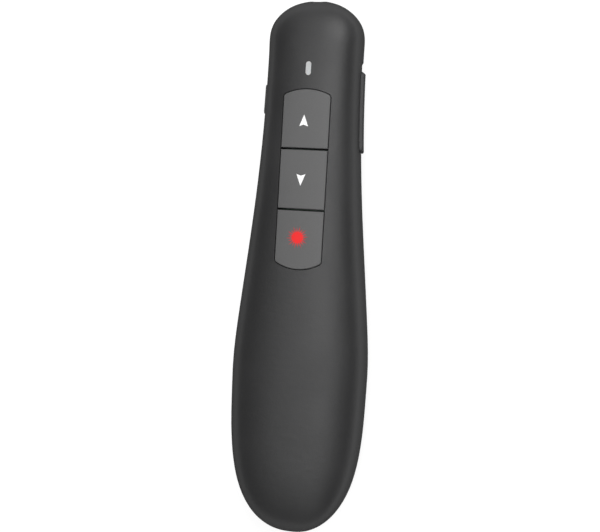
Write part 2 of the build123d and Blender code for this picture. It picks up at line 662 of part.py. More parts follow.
with BuildPart() as lower_casing:
    add(LOWER_OUTER)
    split(bisect_by=Plane.XY, keep=Keep.TOP)
    add(LOWER_CAVITY, mode=Mode.SUBTRACT)
    add(lower_fittings.part)
    add(shadow_line.part, mode=Mode.SUBTRACT)
    add(rim_lip.part)
    # The door takes the whole underside of the grip, up to its seam plane.
    cuboid((-TALL, TALL), (TAIL_Y - RIB, DOOR_FRONT_Y), (-RIB, DOOR_SEAM_Z), mode=Mode.SUBTRACT)
    for side in (-1, 1):
        with BuildSketch(Plane.XZ.offset(-BAY_TAIL_Y)):
            with Locations((side * CELL_SPACING / 2, CELL_AXIS_Z)):
                Circle(CELL_RADIUS + CELL_CLEARANCE)
        extrude(amount=-(BAY_FRONT_Y - BAY_TAIL_Y), mode=Mode.SUBTRACT)
        # Screw from below: head seat, then shank hole.
        with BuildSketch(Plane.XY):
            with Locations((side * CASING_SCREW_X, CASING_SCREW_Y)):
                Circle(CASING_HEAD_RADIUS + SLIDE_GAP)
        extrude(amount=SCREW_SEAT_Z, mode=Mode.SUBTRACT)
        with BuildSketch(Plane.XY):
            with Locations((side * CASING_SCREW_X, CASING_SCREW_Y)):
                Circle(CASING_SCREW_RADIUS + FIT)
        extrude(amount=PART_Z + LIP_HEIGHT, mode=Mode.SUBTRACT)
        # Slots that the door's hooks slide in, each with a notch where they drop out.
        for from_tail in HOOKS_FROM_TAIL:
            hook_y = TAIL_Y + from_tail
            rest = around(hook_y, HOOK_LENGTH + 4 * SLIDE_GAP)
            freed = (rest[0] - DOOR_STROKE, rest[1] - DOOR_STROKE)
            stroke = (freed[0], rest[1])
            stem_x = sorted((0, side * (HOOK_OUT_X + SLIDE_GAP)))
            barb_x = sorted((0, side * (HOOK_OUT_X + HOOK_REACH + SLIDE_GAP)))
            barb_base = DOOR_SEAM_Z + HOOK_LEDGE
            barb_top = barb_base + HOOK_THICKNESS + 3 * SLIDE_GAP
            cuboid(stem_x, stroke, (DOOR_SEAM_Z, barb_top), mode=Mode.SUBTRACT)
            cuboid(barb_x, freed, (DOOR_SEAM_Z, barb_top), mode=Mode.SUBTRACT)
            cuboid(barb_x, stroke, (barb_base, barb_top), mode=Mode.SUBTRACT)
    # Tails of the two front contacts pass up beside the front wall.
    for side in (-1, 1):
        tail_x = around(side * CELL_SPACING / 2, CONTACT_TAIL + 4 * SLIDE_GAP)
        tail_y = (BAY_FRONT_Y - CONTACT_THICKNESS - 2 * SLIDE_GAP, BAY_FRONT_Y)
        cuboid(tail_x, tail_y, (CEILING_Z, PART_Z), mode=Mode.SUBTRACT)
    # Slot for the door's front tab.
    floor_z = WALL + SLIDE_GAP
    tab_z = (floor_z, floor_z + LATCH_THICKNESS + 3 * SLIDE_GAP)
    tab_y = (DOOR_FRONT_Y - RIB, DOOR_FRONT_Y + 2 * RIB)
    cuboid(around(0, 2 * (LATCH_HALF_WIDTH + SLIDE_GAP)), tab_y, tab_z, mode=Mode.SUBTRACT)
    # Receiver's pocket and duct.
    with BuildSketch(Plane.XZ.offset(-CAP_REAR_Y)):
        with Locations((0, RECEIVER_Z)):
            RectangleRounded(
                2 * (CAP_HALF_WIDTH + SLIDE_GAP), CAP_HEIGHT + 2 * SLIDE_GAP, CAP_CORNER + SLIDE_GAP
            )
    extrude(amount=2 * CAP_LENGTH, mode=Mode.SUBTRACT)
    cuboid(
        around(0, SLEEVE_WIDTH + 2 * SLIDE_GAP),
        (CAP_REAR_Y, BAY_TAIL_Y - RIB),
        around(RECEIVER_Z, SLEEVE_HEIGHT + 2 * SLIDE_GAP),
        mode=Mode.SUBTRACT,
    )
    # Blind bore for the rocker's pin.
    with BuildSketch(Plane.XY.offset(ROCKER_Z - SIDE_SWITCH[2] / 2)):
        with Locations((PIVOT_X, ROCKER_Y)):
            Circle(PIVOT_RADIUS + FIT)
    extrude(amount=-WALL, mode=Mode.SUBTRACT)
    barrel_pocket()
    cut_side_windows(rocker_recess(LOWER_SKIN, (0, PART_Z)))
    cut_tip()
lower_casing.part.label = "lower_casing"


# ---- Battery door ----------------------------------------------------------------------------
with BuildPart() as battery_door:
    add(LOWER_OUTER)
    split(bisect_by=Plane.XY, keep=Keep.TOP)
    split(bisect_by=Plane.XY.offset(DOOR_SEAM_Z - DOOR_GAP), keep=Keep.BOTTOM)
    split(bisect_by=Plane.XZ.offset(-(DOOR_FRONT_Y - DOOR_GAP)), keep=Keep.TOP)
    add(LOWER_CAVITY, mode=Mode.SUBTRACT)
    for side in (-1, 1):
        # Hollow for a cell, open to the front so that the door can slide under it.
        with BuildSketch(Plane.XZ.offset(-BAY_TAIL_Y)):
            with Locations((side * CELL_SPACING / 2, CELL_AXIS_Z)):
                Circle(CELL_RADIUS + CELL_CLEARANCE)
        extrude(amount=-BODY_LENGTH, mode=Mode.SUBTRACT)
        for from_tail in HOOKS_FROM_TAIL:
            hook_y = around(TAIL_Y + from_tail, HOOK_LENGTH)
            barb_base = DOOR_SEAM_Z + HOOK_LEDGE + SLIDE_GAP
            stem_x = sorted((side * (HOOK_OUT_X - HOOK_THICKNESS), side * HOOK_OUT_X))
            barb_x = sorted((side * HOOK_OUT_X, side * (HOOK_OUT_X + HOOK_REACH)))
            stem_z = (DOOR_SEAM_Z - 2 * HOOK_THICKNESS, barb_base + HOOK_THICKNESS)
            cuboid(stem_x, hook_y, stem_z)
            cuboid(barb_x, hook_y, (barb_base, barb_base + HOOK_THICKNESS))
    # Front tab that slips over the shell's floor.
    tab_z = (WALL + 2 * SLIDE_GAP, WALL + 2 * SLIDE_GAP + LATCH_THICKNESS)
    cuboid(around(0, 2 * LATCH_HALF_WIDTH), (BAY_FRONT_Y, DOOR_FRONT_Y + LATCH_LENGTH), tab_z)
    riser_y = (BAY_FRONT_Y, DOOR_FRONT_Y - DOOR_GAP)
    cuboid(around(0, 2 * LATCH_HALF_WIDTH), riser_y, (WALL / 2, tab_z[1]))
    # Thumb grooves across the front of the door.
    for groove in range(GRIP_GROOVES):
        groove_y = DOOR_FRONT_Y - GRIP_FROM_SEAM - groove * GRIP_PITCH
        with BuildSketch(Plane.XY):
            with Locations((0, groove_y)):
                SlotOverall(GRIP_WIDTH - groove * GRIP_TAPER, GRIP_PITCH / 2)
        extrude(amount=GRIP_PITCH / 4, mode=Mode.SUBTRACT)
battery_door.part.label = "battery_door"


# ---- Keys and their switches -----------------------------------------------------------------
def key(number):
    """Key cap cut from the body's crown, on a flange that stops under the key frame."""
    rear, front = key_limits(number)
    flange_rear = rear - TALL if number == 2 else rear
    flange_front = front + TALL if number == 0 else front
    with BuildPart() as flange:
        with BuildSketch(Plane.XY.offset(FLANGE_BOTTOM_Z)):
            add(keypad_outline(FLANGE_WIDTH))
            with Locations((0, (flange_rear + flange_front) / 2)):
                Rectangle(TALL, flange_front - flange_rear, mode=Mode.INTERSECT)
        extrude(amount=FLANGE_THICKNESS)
        add(KEY_ROOM, mode=Mode.INTERSECT)
    with BuildPart() as cap:
        with BuildSketch(Plane.XY.offset(FLANGE_BOTTOM_Z)):
            add(keypad_outline())
            with Locations((0, (rear + front) / 2)):
                Rectangle(TALL, front - rear, mode=Mode.INTERSECT)
        extrude(amount=TALL)
        add(KEY_FORM, mode=Mode.INTERSECT)
        fillet(cap.faces().sort_by(Axis.Z)[-1].edges(), radius=KEY_EDGE)
        add(flange.part)
        with BuildSketch(Plane.XY.offset(FLANGE_BOTTOM_Z)):
            with Locations((0, key_middle(number))):
                Circle(KEY_STEM_RADIUS + FIT)
        extrude(amount=-KEY_BOSS_HEIGHT)
    return cap.part


def switch_stem(number):
    """Stem of a key switch, from its bore up to the key's boss."""
    with BuildPart() as stem:
        with BuildSketch(Plane.XY.offset(KEY_SWITCH_TOP_Z - KEY_STEM_DEPTH)):
            with Locations((0, key_middle(number))):
                Circle(KEY_STEM_RADIUS)
        extrude(amount=KEY_STEM_TOP_Z - KEY_SWITCH_TOP_Z + KEY_STEM_DEPTH)
    return stem.part


KEY_NAMES = ("page_up", "page_down", "laser")
keys = {}
for number, name in enumerate(KEY_NAMES):
    keys[name + "_key"] = key(number)
    keys[name + "_switch_stem"] = switch_stem(number)
for name, piece in keys.items():
    piece.label = name

with BuildPart() as key_switches:
    for number in range(len(KEY_NAMES)):
        middle = key_middle(number)
        body_z = (BOARD_TOP_Z, KEY_SWITCH_TOP_Z)
        cuboid(around(0, KEY_SWITCH_SIDE), around(middle, KEY_SWITCH_SIDE), body_z)
        with BuildSketch(Plane.XY.offset(KEY_SWITCH_TOP_Z)):
            with Locations((0, middle)):
                Circle(KEY_STEM_RADIUS + SLIDE_GAP / 2)
        extrude(amount=-(KEY_STEM_DEPTH + KEY_TRAVEL + FIT), mode=Mode.SUBTRACT)
key_switches.part.label = "key_switches"


# ---- Volume rocker ---------------------------------------------------------------------------
with BuildPart() as volume_rocker:
    face = side_profile(ROCKER_Y, ROCKER_Z, ROCKER_LENGTH, ROCKER_HEIGHT, ROCKER_CORNER)
    extrude(face, amount=BELLY_HALF_WIDTH)
    add(PROUD_FORM, mode=Mode.INTERSECT)
    # Both ends slope down to the body's skin.
    rear_x = section_sizes(ROCKER_REAR_Y, 0)[0]
    front_x = section_sizes(ROCKER_FRONT_Y, 0)[0]
    with BuildSketch():
        with BuildLine():
            Polyline(
                (ROCKER_INNER_X, ROCKER_REAR_Y),
                (rear_x, ROCKER_REAR_Y),
                (rear_x + RIB, ROCKER_REAR_Y + RIB),
                (front_x + RIB, ROCKER_FRONT_Y - RIB),
                (front_x, ROCKER_FRONT_Y),
                (ROCKER_INNER_X, ROCKER_FRONT_Y),
                close=True,
            )
        make_face()
    extrude(amount=TALL, mode=Mode.INTERSECT)
    # Tab behind the wall that keeps it in, and the pivot lug.
    tab_y = around(ROCKER_Y, ROCKER_LENGTH + 2 * ROCKER_TAB[1])
    cuboid((ROCKER_TAB_X, ROCKER_INNER_X + 4 * FIT), tab_y, around(ROCKER_Z, ROCKER_TAB[2]))
    lug_z = around(ROCKER_Z, SIDE_SWITCH[2] - 4 * FIT)
    cuboid((PIVOT_X, ROCKER_INNER_X + 4 * FIT), around(ROCKER_Y, 2 * (PIVOT_RADIUS + RIB)), lug_z)
    with BuildSketch(Plane.XY.offset(lug_z[0])):
        with Locations((PIVOT_X, ROCKER_Y)):
            Circle(PIVOT_RADIUS + RIB)
    extrude(amount=lug_z[1] - lug_z[0])
    with BuildSketch(Plane.XY.offset(lug_z[0])):
        with Locations((PIVOT_X, ROCKER_Y)):
            Circle(PIVOT_RADIUS + FIT)
    extrude(amount=lug_z[1] - lug_z[0], mode=Mode.SUBTRACT)
volume_rocker.part.label = "volume_rocker"

with BuildPart() as rocker_pivot_pin:
    with BuildSketch(Plane.XY.offset(ROCKER_Z - SIDE_SWITCH[2] / 2 - WALL)):
        with Locations((PIVOT_X, ROCKER_Y)):
            Circle(PIVOT_RADIUS)
    extrude(amount=SIDE_SWITCH[2] + WALL)
rocker_pivot_pin.part.label = "rocker_pivot_pin"

PLUNGER_Z = BOARD_BOTTOM_Z - SIDE_SWITCH[2] / 2
with BuildPart() as volume_switches:
    for side in (-1, 1):
        switch_y = around(ROCKER_Y + side * PLUNGER_ARM, SIDE_SWITCH[1])
        switch_x = (SWITCH_FACE_X - SIDE_SWITCH[0], SWITCH_FACE_X)
        cuboid(switch_x, switch_y, around(PLUNGER_Z, SIDE_SWITCH[2]))
        with BuildSketch(Plane.YZ.offset(SWITCH_FACE_X)):
            with Locations((ROCKER_Y + side * PLUNGER_ARM, PLUNGER_Z)):
                Circle(PLUNGER_RADIUS + SLIDE_GAP / 2)
        extrude(amount=-PLUNGER_BORE, mode=Mode.SUBTRACT)
volume_switches.part.label = "volume_switches"


def side_plunger(side):
    """Plunger of a side switch, out to the rocker's inner face."""
    with BuildPart() as plunger:
        with BuildSketch(Plane.YZ.offset(SWITCH_FACE_X - PLUNGER_DEPTH)):
            with Locations((ROCKER_Y + side * PLUNGER_ARM, PLUNGER_Z)):
                Circle(PLUNGER_RADIUS)
        extrude(amount=PLUNGER_DEPTH + PLUNGER_SHOWS - FIT)
    return plunger.part


volume_up_plunger = side_plunger(1)
volume_up_plunger.label = "volume_up_plunger"
volume_down_plunger = side_plunger(-1)
volume_down_plunger.label = "volume_down_plunger"


# ---- Power slider ----------------------------------------------------------------------------
with BuildPart() as power_slider:
    face = side_profile(SLIDER_Y, SLIDER_Z, SLIDER_LENGTH, SLIDER_HEIGHT, SLIDER_CORNER)
    extrude(face, amount=-BELLY_HALF_WIDTH)
    add(PROUD_FORM, mode=Mode.INTERSECT)
    cuboid((-SLIDER_PLATE_X, 0), (-TALL, TALL), (0, TALL), mode=Mode.SUBTRACT)
    # Plate behind the wall, long enough to keep the slot covered at both ends.
    plate_x = (-SLIDER_PLATE_X, -SLIDER_PLATE_X + SLIDER_PLATE_THICKNESS)
    plate_y = around(SLIDER_Y, SLIDER_LENGTH + 2 * SLIDER_TRAVEL + 2 * SLIDER_OVERLAP)
    cuboid(plate_x, plate_y, around(SLIDER_Z + SLIDER_PLATE_RISE, SLIDER_PLATE_HEIGHT))
    # Ribbed thumb face.
    pitch = SLIDER_LENGTH / (SLIDER_GROOVES + 1)
    groove_x = (-BELLY_HALF_WIDTH, -NECK_HALF_WIDTH - ROCKER_PROUD / 2)
    groove_z = around(SLIDER_Z, SLIDER_GROOVE_HEIGHT)
    for groove in range(SLIDER_GROOVES):
        middle = SLIDER_Y - SLIDER_LENGTH / 2 + (groove + 1) * pitch
        groove_y = around(middle, pitch * SLIDER_GROOVE_SHARE)
        cuboid(groove_x, groove_y, groove_z, mode=Mode.SUBTRACT)
power_slider.part.label = "power_slider"

POWER_SWITCH_Z = BOARD_BOTTOM_Z - POWER_SWITCH[2] / 2
POWER_SWITCH_Y = SLIDER_Y - SLIDER_TRAVEL / 2
LEVER_END_X = -(POWER_SWITCH_X - POWER_SWITCH[0] / 4)
with BuildPart() as power_switch_lever:
    cuboid(
        (-SLIDER_PLATE_X + SLIDER_PLATE_THICKNESS, LEVER_END_X),
        around(SLIDER_Y, SLIDER_LEVER),
        around(POWER_SWITCH_Z, SLIDER_LEVER),
    )
power_switch_lever.part.label = "power_switch_lever"

with BuildPart() as power_switch_housing:
    cuboid(
        around(-POWER_SWITCH_X, POWER_SWITCH[0]),
        around(POWER_SWITCH_Y, POWER_SWITCH[1]),
        around(POWER_SWITCH_Z, POWER_SWITCH[2]),
    )
    cuboid(
        (-TALL, LEVER_END_X + SLIDE_GAP),
        around(POWER_SWITCH_Y, SLIDER_TRAVEL + SLIDER_LEVER + 2 * SLIDE_GAP),
        around(POWER_SWITCH_Z, SLIDER_LEVER + 2 * SLIDE_GAP),
        mode=Mode.SUBTRACT,
    )
power_switch_housing.part.label = "power_switch_housing"


# ---- Circuit board and what is soldered to it ------------------------------------------------
with BuildPart() as circuit_board:
    with BuildSketch(Plane.XY.offset(BOARD_BOTTOM_Z)):
        with Locations((0, (BOARD_FRONT_Y + BOARD_REAR_Y) / 2)):
            RectangleRounded(2 * BOARD_HALF_WIDTH, BOARD_FRONT_Y - BOARD_REAR_Y, BOARD_CORNER)
        with Locations(BOARD_SCREWS):
            Circle(BOARD_SCREW_RADIUS + SLIDE_GAP, mode=Mode.SUBTRACT)
    extrude(amount=BOARD_THICKNESS)
circuit_board.part.label = "circuit_board"

with BuildPart() as status_led:
    led_z = (BOARD_TOP_Z, BOARD_TOP_Z + STATUS_LED[2])
    cuboid(around(0, STATUS_LED[0]), around(LIGHT_Y, STATUS_LED[1]), led_z)
status_led.part.label = "status_led"

with BuildPart() as status_light_pipe:
    with BuildSketch(Plane.XY.offset(led_z[1] + 2 * SLIDE_GAP)):
        with Locations((0, LIGHT_Y)):
            SlotOverall(LIGHT_LENGTH, LIGHT_WIDTH, rotation=90)
    extrude(amount=TALL)
    add(UPPER_OUTER, mode=Mode.INTERSECT)
    collar_top = PART_Z + section_sizes(LIGHT_Y, WALL)[1] - 2 * SLIDE_GAP
    with BuildSketch(Plane.XY.offset(collar_top)):
        with Locations((0, LIGHT_Y)):
            SlotOverall(LIGHT_LENGTH + 2 * LIGHT_COLLAR, LIGHT_WIDTH + 2 * LIGHT_COLLAR, rotation=90)
    extrude(amount=-LIGHT_COLLAR_THICKNESS)
status_light_pipe.part.label = "status_light_pipe"

with BuildPart() as radio_controller_chip:
    chip_z = (BOARD_BOTTOM_Z - CHIP_HEIGHT, BOARD_BOTTOM_Z)
    cuboid(around(CHIP_X, CHIP_SIDE), around(key_middle(1), CHIP_SIDE), chip_z)
    chamfer(radio_controller_chip.edges().filter_by(Axis.Z).sort_by(Axis.X)[:1], length=CHIP_MARK)
radio_controller_chip.part.label = "radio_controller_chip"

with BuildPart() as crystal:
    with BuildSketch(Plane.XY.offset(BOARD_BOTTOM_Z)):
        with Locations((CHIP_X, key_middle(1) - CRYSTAL_BEHIND)):
            RectangleRounded(CRYSTAL[0], CRYSTAL[1], CRYSTAL_CORNER)
    extrude(amount=-CRYSTAL[2])
crystal.part.label = "crystal"

with BuildPart() as capacitors:
    with Locations((0, key_middle(1) + CAPACITORS_AHEAD, BOARD_BOTTOM_Z - CAPACITOR[2] / 2)):
        with GridLocations(*CAPACITOR_PITCH, 3, 2):
            Box(*CAPACITOR)
capacitors.part.label = "capacitors"


# ---- Laser -----------------------------------------------------------------------------------
with BuildPart() as laser_barrel:
    with BuildSketch(Plane.XZ.offset(-BARREL_REAR_Y)):
        with Locations((0, PART_Z)):
            Circle(BARREL_RADIUS)
    extrude(amount=-BARREL_LENGTH)
    with BuildSketch(Plane.XZ.offset(-BARREL_FRONT_Y)):
        with Locations((0, PART_Z)):
            Circle(LENS_RADIUS + FIT)
    extrude(amount=LENS_THICKNESS + LENS_SET_BACK + FIT, mode=Mode.SUBTRACT)
    chamfer(laser_barrel.edges().group_by(Axis.Y)[-1].sort_by(SortBy.RADIUS)[-1:], length=BARREL_EDGE)
laser_barrel.part.label = "laser_barrel"

LENS_FRONT_Y = BARREL_FRONT_Y - LENS_SET_BACK
with BuildPart() as laser_lens:
    with BuildSketch(Plane.XZ.offset(-LENS_FRONT_Y)):
        with Locations((0, PART_Z)):
            Circle(LENS_RADIUS)
    extrude(amount=LENS_THICKNESS)
    with Locations((0, LENS_FRONT_Y - LENS_DOME_RADIUS, PART_Z)):
        Sphere(LENS_DOME_RADIUS, mode=Mode.INTERSECT)
laser_lens.part.label = "laser_lens"

with BuildPart() as laser_window:
    with BuildSketch(Plane.XZ.offset(-(TIP_Y - WINDOW_SET_BACK - WINDOW_THICKNESS))):
        with Locations((0, PART_Z)):
            Circle(WINDOW_RADIUS)
    extrude(amount=-WINDOW_THICKNESS)
laser_window.part.label = "laser_window"

DRIVER_BOARD_Y = (BARREL_REAR_Y - DRIVER_BOARD_THICKNESS, BARREL_REAR_Y)
LEAD_END_Y = BOARD_FRONT_Y - LEAD_FROM_EDGE
LEAD_Z = PART_Z - LEAD_DROP
with BuildPart() as laser_driver_board:
    driver_z = (PART_Z - DRIVER_BOARD_DROP, BOARD_BOTTOM_Z + DRIVER_BOARD_OVERLAP)
    cuboid(around(0, DRIVER_BOARD_WIDTH), DRIVER_BOARD_Y, driver_z)
laser_driver_board.part.label = "laser_driver_board"

with BuildPart() as laser_leads:
    for lead_x in (-LEAD_X, LEAD_X):
        with BuildLine() as lead_path:
            FilletPolyline(
                (lead_x, DRIVER_BOARD_Y[0], LEAD_Z),
                (lead_x, LEAD_END_Y, LEAD_Z),
                (lead_x, LEAD_END_Y, BOARD_BOTTOM_Z),
                radius=LEAD_BEND,
            )
        with BuildSketch(Plane.XZ.offset(-DRIVER_BOARD_Y[0])):
            with Locations((lead_x, LEAD_Z)):
                Circle(LEAD_RADIUS)
        sweep(path=lead_path.wires()[0])
laser_leads.part.label = "laser_leads"


# ---- Cells and contacts ----------------------------------------------------------------------
def cell(side, flat_end_y, direction):
    """Dry cell on its axis, from its flat end, with its nub pointing along direction."""
    with BuildPart() as shape:
        with BuildSketch(Plane.XZ.offset(-flat_end_y)):
            with Locations((side * CELL_SPACING / 2, CELL_AXIS_Z)):
                Circle(CELL_RADIUS)
        extrude(amount=-direction * (CELL_LENGTH - CELL_NUB_LENGTH))
        fillet(shape.edges().filter_by(GeomType.CIRCLE), radius=CELL_EDGE)
        nub_base = flat_end_y + direction * (CELL_LENGTH - CELL_NUB_LENGTH)
        with BuildSketch(Plane.XZ.offset(-nub_base)):
            with Locations((side * CELL_SPACING / 2, CELL_AXIS_Z)):
                Circle(CELL_NUB_RADIUS)
        extrude(amount=-direction * CELL_NUB_LENGTH)
    return shape.part


LINK_Y = (BAY_TAIL_Y, BAY_TAIL_Y + CONTACT_THICKNESS)
FRONT_PLATE_Y = (BAY_FRONT_Y - CONTACT_THICKNESS, BAY_FRONT_Y)
LEFT_FLAT_Y = LINK_Y[1] + SPRING_LENGTH + FIT
RIGHT_FLAT_Y = FRONT_PLATE_Y[0] - SPRING_LENGTH - FIT
left_battery = cell(-1, LEFT_FLAT_Y, 1)
left_battery.label = "left_battery"
right_battery = cell(1, RIGHT_FLAT_Y, -1)
right_battery.label = "right_battery"

with BuildPart() as battery_link_contact:
    cuboid(around(0, CELL_SPACING + CONTACT_SIDE), LINK_Y, around(CELL_AXIS_Z, CONTACT_SIDE))
    fillet(battery_link_contact.edges().filter_by(Axis.Y), radius=CONTACT_CORNER)
battery_link_contact.part.label = "battery_link_contact"


def front_contact(side):
    """Contact plate on the front wall, with its tail soldered to the board above."""
    with BuildPart() as plate:
        middle = side * CELL_SPACING / 2
        cuboid(around(middle, CONTACT_SIDE), FRONT_PLATE_Y, around(CELL_AXIS_Z, CONTACT_SIDE))
        cuboid(around(middle, CONTACT_TAIL), FRONT_PLATE_Y, (CELL_AXIS_Z, BOARD_BOTTOM_Z))
    return plate.part


positive_contact = front_contact(-1)
positive_contact.label = "positive_contact"
negative_contact = front_contact(1)
negative_contact.label = "negative_contact"

with BuildPart() as contact_springs:
    for side, foot_y, direction in ((-1, LINK_Y[1], 1), (1, FRONT_PLATE_Y[0], -1)):
        coil_height = SPRING_LENGTH - 2 * SPRING_WIRE - 2 * FIT
        with BuildLine() as coil:
            Helix(
                pitch=coil_height / SPRING_TURNS,
                height=coil_height,
                radius=SPRING_FOOT_RADIUS,
                center=(side * CELL_SPACING / 2, foot_y + direction * (SPRING_WIRE + FIT), CELL_AXIS_Z),
                direction=(0, direction, 0),
                cone_angle=-SPRING_CONE,
            )
        with BuildSketch(coil.line ^ 0):
            RegularPolygon(SPRING_WIRE, SPRING_WIRE_SIDES)
        sweep(path=coil.wires()[0], is_frenet=True)
contact_springs.part.label = "contact_springs"


# ---- Receiver --------------------------------------------------------------------------------
with BuildPart() as nail_groove:
    groove_y = (TAIL_Y, CAP_REAR_Y)
    cuboid(around(0, NAIL_GROOVE_WIDTH), groove_y, around(RECEIVER_Z, NAIL_GROOVE_HEIGHT))
    add(LOWER_MID, mode=Mode.SUBTRACT)

with BuildPart() as usb_receiver_cap:
    with BuildSketch(Plane.XZ.offset(-(CAP_REAR_Y - FIT))):
        with Locations((0, RECEIVER_Z)):
            RectangleRounded(2 * CAP_HALF_WIDTH, CAP_HEIGHT, CAP_CORNER)
    extrude(amount=2 * CAP_LENGTH)
    add(LOWER_OUTER, mode=Mode.INTERSECT)
    add(nail_groove.part, mode=Mode.SUBTRACT)
usb_receiver_cap.part.label = "usb_receiver_cap"

with BuildPart() as usb_receiver_sleeve:
    cuboid(
        around(0, SLEEVE_WIDTH),
        (CAP_REAR_Y - FIT, SLEEVE_END_Y),
        around(RECEIVER_Z, SLEEVE_HEIGHT),
    )
    fillet(usb_receiver_sleeve.edges().filter_by(Axis.Y), radius=SLEEVE_CORNER)
    cuboid(
        around(0, SLEEVE_WIDTH - 2 * SLEEVE_SHEET),
        (CAP_REAR_Y - FIT, SLEEVE_END_Y),
        around(RECEIVER_Z, SLEEVE_HEIGHT - 2 * SLEEVE_SHEET),
        mode=Mode.SUBTRACT,
    )
    for side in (-1, 1):
        hole_x = around(side * SLEEVE_HOLE_X, SLEEVE_HOLE[0])
        hole_y = around(CAP_REAR_Y + SLEEVE_HOLE_FROM_CAP, SLEEVE_HOLE[1])
        cuboid(hole_x, hole_y, around(RECEIVER_Z, TALL), mode=Mode.SUBTRACT)
usb_receiver_sleeve.part.label = "usb_receiver_sleeve"

with BuildPart() as usb_receiver_board:
    sleeve_floor = RECEIVER_Z - SLEEVE_HEIGHT / 2 + SLEEVE_SHEET + FIT
    cuboid(
        around(0, SLEEVE_WIDTH - 2 * SLEEVE_SHEET - 2 * FIT),
        (CAP_REAR_Y - FIT, SLEEVE_END_Y - TONGUE_SET_BACK),
        (sleeve_floor, sleeve_floor + TONGUE_THICKNESS),
    )
usb_receiver_board.part.label = "usb_receiver_board"


# ---- Screws ----------------------------------------------------------------------------------
with BuildPart() as casing_screws:
    for side in (-1, 1):
        seat = (side * CASING_SCREW_X, CASING_SCREW_Y, SCREW_SEAT_Z)
        screw(
            Plane(seat),
            CASING_SCREW_RADIUS - FIT,
            CASING_SCREW_LENGTH - FIT,
            CASING_HEAD_RADIUS,
            CASING_HEAD_HEIGHT,
        )
casing_screws.part.label = "casing_screws"

with BuildPart() as board_screws:
    for x, y in BOARD_SCREWS:
        screw(
            Plane((x, y, BOARD_BOTTOM_Z)),
            BOARD_SCREW_RADIUS - FIT / 2,
            BOARD_SCREW_LENGTH,
            BOARD_HEAD_RADIUS,
            BOARD_HEAD_HEIGHT,
        )
board_screws.part.label = "board_screws"


# ---- Files -----------------------------------------------------------------------------------
pieces = [
    upper_casing.part,
    lower_casing.part,
    battery_door.part,
    key_switches.part,
    volume_rocker.part,
    rocker_pivot_pin.part,
    volume_switches.part,
    volume_up_plunger,
    volume_down_plunger,
    power_slider.part,
    power_switch_lever.part,
    power_switch_housing.part,
    circuit_board.part,
    status_led.part,
    status_light_pipe.part,
    radio_controller_chip.part,
    crystal.part,
    capacitors.part,
    laser_barrel.part,
    laser_lens.part,
    laser_window.part,
    laser_driver_board.part,
    laser_leads.part,
    left_battery,
    right_battery,
    battery_link_contact.part,
    positive_contact,
    negative_contact,
    contact_springs.part,
    usb_receiver_cap.part,
    usb_receiver_sleeve.part,
    usb_receiver_board.part,
    casing_screws.part,
    board_screws.part,
] + list(keys.values())

os.makedirs("parts", exist_ok=True)
for piece in pieces:
    export_step(piece, f"parts/{piece.label}.step")
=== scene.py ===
import json
import math

import bmesh
import bpy
from mathutils import Matrix, Vector
from mathutils.bvhtree import BVHTree


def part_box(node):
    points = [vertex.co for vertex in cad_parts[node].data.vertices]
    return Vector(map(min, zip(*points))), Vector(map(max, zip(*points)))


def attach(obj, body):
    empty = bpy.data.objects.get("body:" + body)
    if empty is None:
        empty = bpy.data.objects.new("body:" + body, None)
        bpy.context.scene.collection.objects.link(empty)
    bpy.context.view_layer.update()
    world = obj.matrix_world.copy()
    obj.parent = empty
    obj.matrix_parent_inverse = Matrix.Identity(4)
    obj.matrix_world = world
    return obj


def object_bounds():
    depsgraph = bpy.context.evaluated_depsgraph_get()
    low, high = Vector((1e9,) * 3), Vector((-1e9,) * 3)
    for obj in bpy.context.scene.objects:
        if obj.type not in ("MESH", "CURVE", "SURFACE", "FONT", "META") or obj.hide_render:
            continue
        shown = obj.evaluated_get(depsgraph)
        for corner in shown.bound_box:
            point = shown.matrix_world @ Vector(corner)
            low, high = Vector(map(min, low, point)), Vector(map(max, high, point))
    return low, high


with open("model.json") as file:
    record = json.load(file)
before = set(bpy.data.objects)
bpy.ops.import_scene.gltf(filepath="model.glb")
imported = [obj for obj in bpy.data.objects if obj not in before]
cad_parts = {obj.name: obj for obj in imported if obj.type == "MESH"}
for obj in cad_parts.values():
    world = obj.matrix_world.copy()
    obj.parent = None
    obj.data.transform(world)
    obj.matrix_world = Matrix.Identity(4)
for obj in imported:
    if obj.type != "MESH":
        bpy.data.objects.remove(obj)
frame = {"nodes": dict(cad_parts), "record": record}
cad_low, cad_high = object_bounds()

MM = 0.001


def add_object(name, data):
    """New object in the scene."""
    made = bpy.data.objects.new(name, data)
    bpy.context.scene.collection.objects.link(made)
    return made


# ---- Camera: the photograph's viewing angle ------------------------------------------------------
TURN = math.radians(13.253)  # from straight above towards the right side
TILT = math.radians(3.443)  # and towards the laser tip
ROLL = math.radians(3.088)  # of the body in the frame, clockwise
SENSOR_WIDTH = 36.0
LENS = 60.313
DISTANCE = 256.866 * MM
SIDE_STEP = (-1.322 * MM, 1.087 * MM)  # of the eye across its own view
AIM_HEIGHT = 13.5 * MM  # above the bottom of the body's middle, which is the origin
CLIP = (0.01, 20)  # nearest and farthest that the camera sees


def make_camera():
    """Camera that sees the object as the photograph does, in a 600 x 532 frame."""
    roll, tilt = Matrix.Rotation(-ROLL, 3, "Z"), Matrix.Rotation(TILT, 3, "X")
    to_camera = roll @ tilt @ Matrix.Rotation(-TURN, 3, "Y")
    to_world = to_camera.transposed()
    eye = to_world @ Vector((SIDE_STEP[0], SIDE_STEP[1], DISTANCE)) + Vector((0, 0, AIM_HEIGHT))
    data = bpy.data.cameras.new("camera")
    data.sensor_fit = "HORIZONTAL"
    data.sensor_width = SENSOR_WIDTH
    data.lens = LENS
    data.clip_start, data.clip_end = CLIP
    camera = add_object("camera", data)
    camera.matrix_world = Matrix.Translation(eye) @ to_world.to_4x4()
    bpy.context.scene.camera = camera


